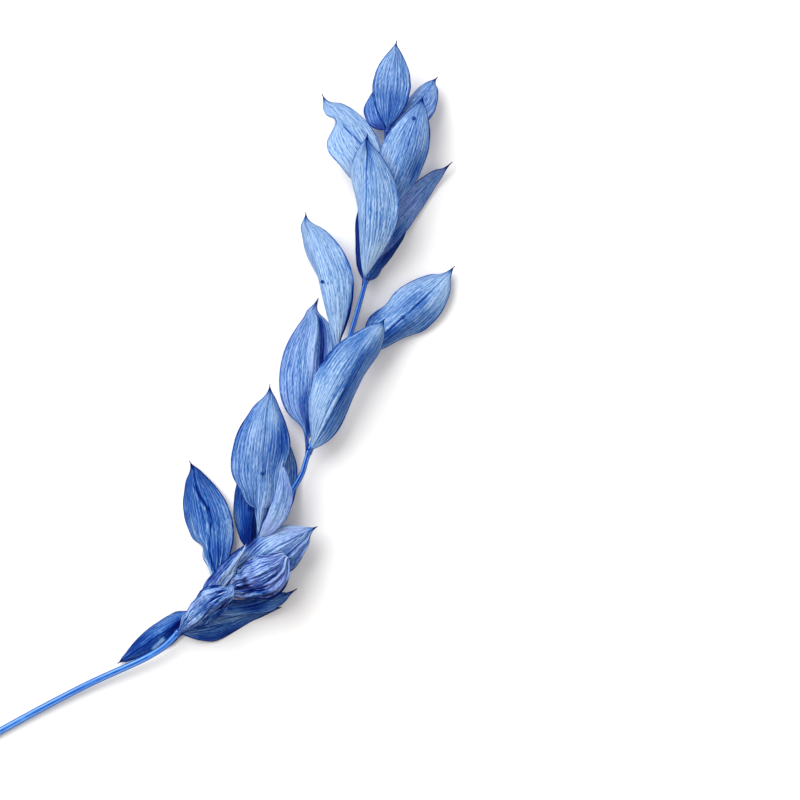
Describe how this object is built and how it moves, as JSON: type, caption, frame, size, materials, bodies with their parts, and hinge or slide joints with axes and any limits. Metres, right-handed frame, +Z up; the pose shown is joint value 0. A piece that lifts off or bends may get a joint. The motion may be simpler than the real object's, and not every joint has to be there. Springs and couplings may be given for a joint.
{
  "type": "preserved leafy stem",
  "caption": "Cut stem of preserved, blue-dyed butcher's broom foliage: a slender ridged stem with whorls of pointed, folded leaf-like blades, lying on a surface.",
  "frame": {"origin": "on the small flat spot under the pruned end of the stem, on the surface that it lies on", "axes": "+Z up from the surface; the stem runs from its pruned end towards +X and +Y, and most of its length lies along +Y"},
  "size_m": [0.2839, 0.3781, 0.0346],
  "materials": {
    "dyed_foliage": "satin"
  },
  "bodies": {
    "root": {"leafy_stem": "dyed_foliage"}
  },
  "joints": []
}
